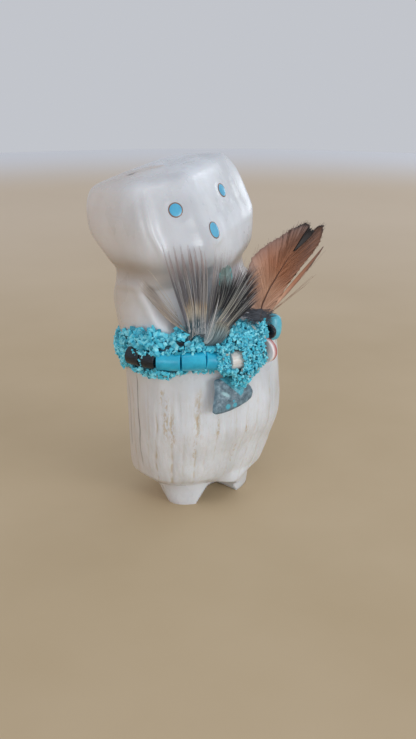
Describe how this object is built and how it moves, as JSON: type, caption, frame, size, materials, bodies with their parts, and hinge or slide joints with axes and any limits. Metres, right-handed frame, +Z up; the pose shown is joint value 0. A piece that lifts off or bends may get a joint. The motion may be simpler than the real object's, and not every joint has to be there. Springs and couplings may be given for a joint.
{
  "type": "fetish carving",
  "caption": "Small standing fetish carving in antler with three turquoise inlays and a waist bundle of beads, chips, stone and feathers.",
  "frame": {"origin": "on the sole, in the middle of the base", "axes": "+Z up through the standing figure, -Y the way it faces, +X its own left"},
  "size_m": [0.0431, 0.0334, 0.0683],
  "materials": {
    "antler": "polished, with open pores in furrows",
    "turquoise": "polished",
    "turquoise_chips": "crushed",
    "jet": "polished",
    "shell": "satin",
    "oyster": "polished",
    "slate": "knapped",
    "sinew": "matte",
    "speckled_vane": "matte",
    "teal_vane": "silky",
    "brown_vane": "matte"
  },
  "bodies": {
    "root": {"antler_figure": "antler", "right_eye_inlay": "turquoise", "left_eye_inlay": "turquoise", "mouth_inlay": "turquoise", "jet_bead_01": "jet", "jet_bead_02": "jet", "turquoise_bead_01": "turquoise", "turquoise_bead_02": "turquoise", "turquoise_bead_03": "turquoise", "shell_bead": "shell", "upper_chip_band": "turquoise_chips", "lower_chip_band": "turquoise_chips", "chip_heap": "turquoise_chips", "sinew_cord": "sinew", "arrowhead": "slate", "oyster_disc": "oyster", "jet_disc": "jet", "turquoise_nugget": "turquoise", "speckled_feather": "speckled_vane", "teal_feather": "teal_vane", "brown_feather": "brown_vane"}
  },
  "joints": []
}
